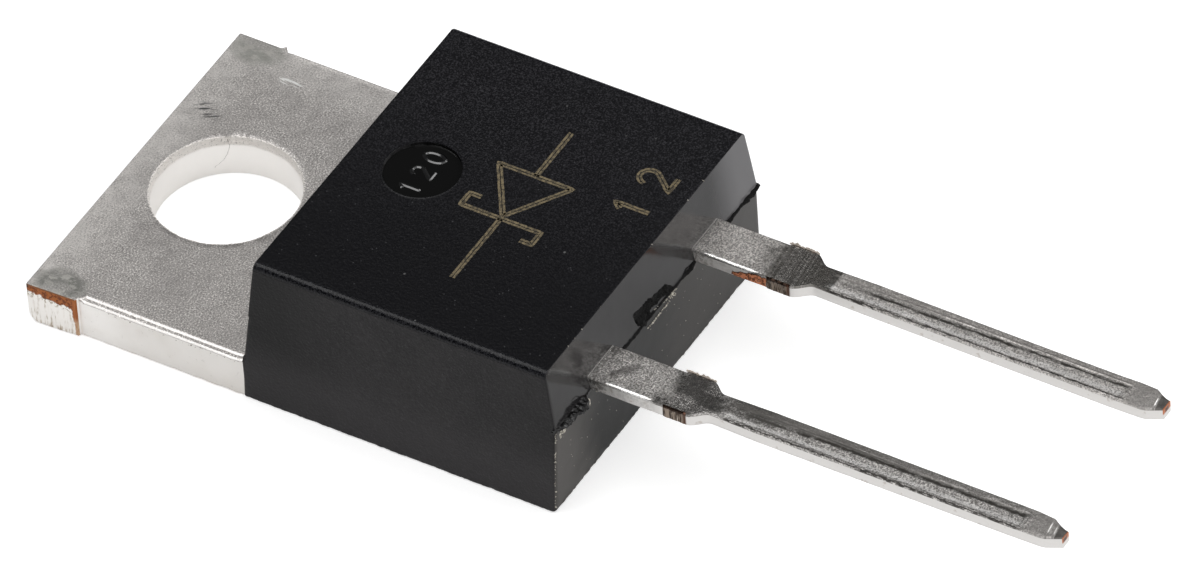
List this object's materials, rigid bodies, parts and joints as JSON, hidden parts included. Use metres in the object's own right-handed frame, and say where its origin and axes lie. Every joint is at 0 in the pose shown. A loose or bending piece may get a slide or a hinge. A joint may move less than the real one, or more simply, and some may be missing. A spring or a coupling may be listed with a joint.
{
  "type": "schottky diode",
  "caption": "Through-hole power diode: a black moulded body on a flat metal tab with a screw hole, and a pair of straight flat leads.",
  "frame": {"origin": "on the plane of the tab's back, under the middle of the overall length and width", "axes": "+X from the cathode lead to the anode lead, +Y from the lead tips to the tab's end, +Z out of the marked top face"},
  "size_m": [0.0102, 0.0284, 0.0045],
  "materials": {
    "black_epoxy": "satin, fine orange peel",
    "tinned_copper": "matte tin plating",
    "silicon": "polished",
    "solder": "dull",
    "bond_aluminium": "bright"
  },
  "bodies": {
    "root": {"moulded_body": "black_epoxy", "cathode_tab_and_lead": "tinned_copper", "anode_lead": "tinned_copper", "schottky_die": "silicon", "die_solder": "solder", "bond_wire_1": "bond_aluminium", "bond_wire_2": "bond_aluminium", "bond_wire_3": "bond_aluminium"}
  },
  "joints": []
}
